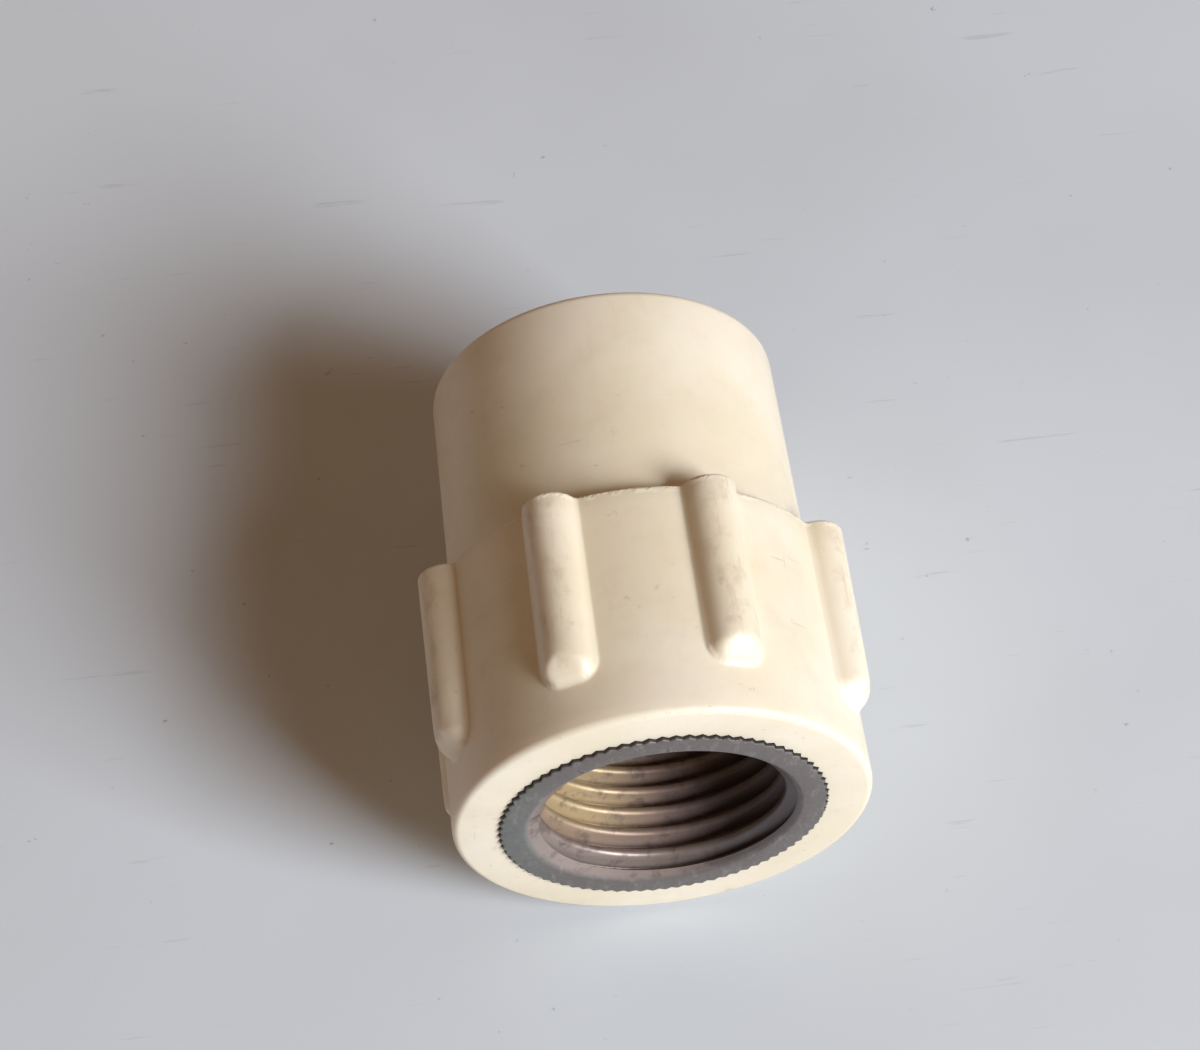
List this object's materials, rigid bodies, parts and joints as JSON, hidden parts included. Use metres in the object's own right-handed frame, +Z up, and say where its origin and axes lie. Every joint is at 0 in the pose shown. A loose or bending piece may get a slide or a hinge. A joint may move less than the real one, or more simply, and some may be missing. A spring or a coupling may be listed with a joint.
{
  "type": "threaded transition adaptor",
  "caption": "Straight reducing pipe adaptor: ribbed plastic bell with a knurled, female-threaded brass insert, and a narrower plain socket for cemented plastic pipe.",
  "frame": {"origin": "centre of the bounding box in plan, on the surface the fitting lies on", "axes": "+Z up; the fitting's axis lies along Y, threaded mouth facing -Y, pipe socket facing +Y; it rests on two neighbouring grip ribs"},
  "size_m": [0.0328, 0.039, 0.0328],
  "materials": {
    "cream_plastic": "satin moulded cream plastic",
    "brass": "machined brass, dulled and slightly browned",
    "seal_rubber": "black moulded rubber"
  },
  "bodies": {
    "root": {"plastic_body": "cream_plastic", "brass_insert": "brass", "outer_seal": "seal_rubber", "inner_seal": "seal_rubber"}
  },
  "joints": []
}
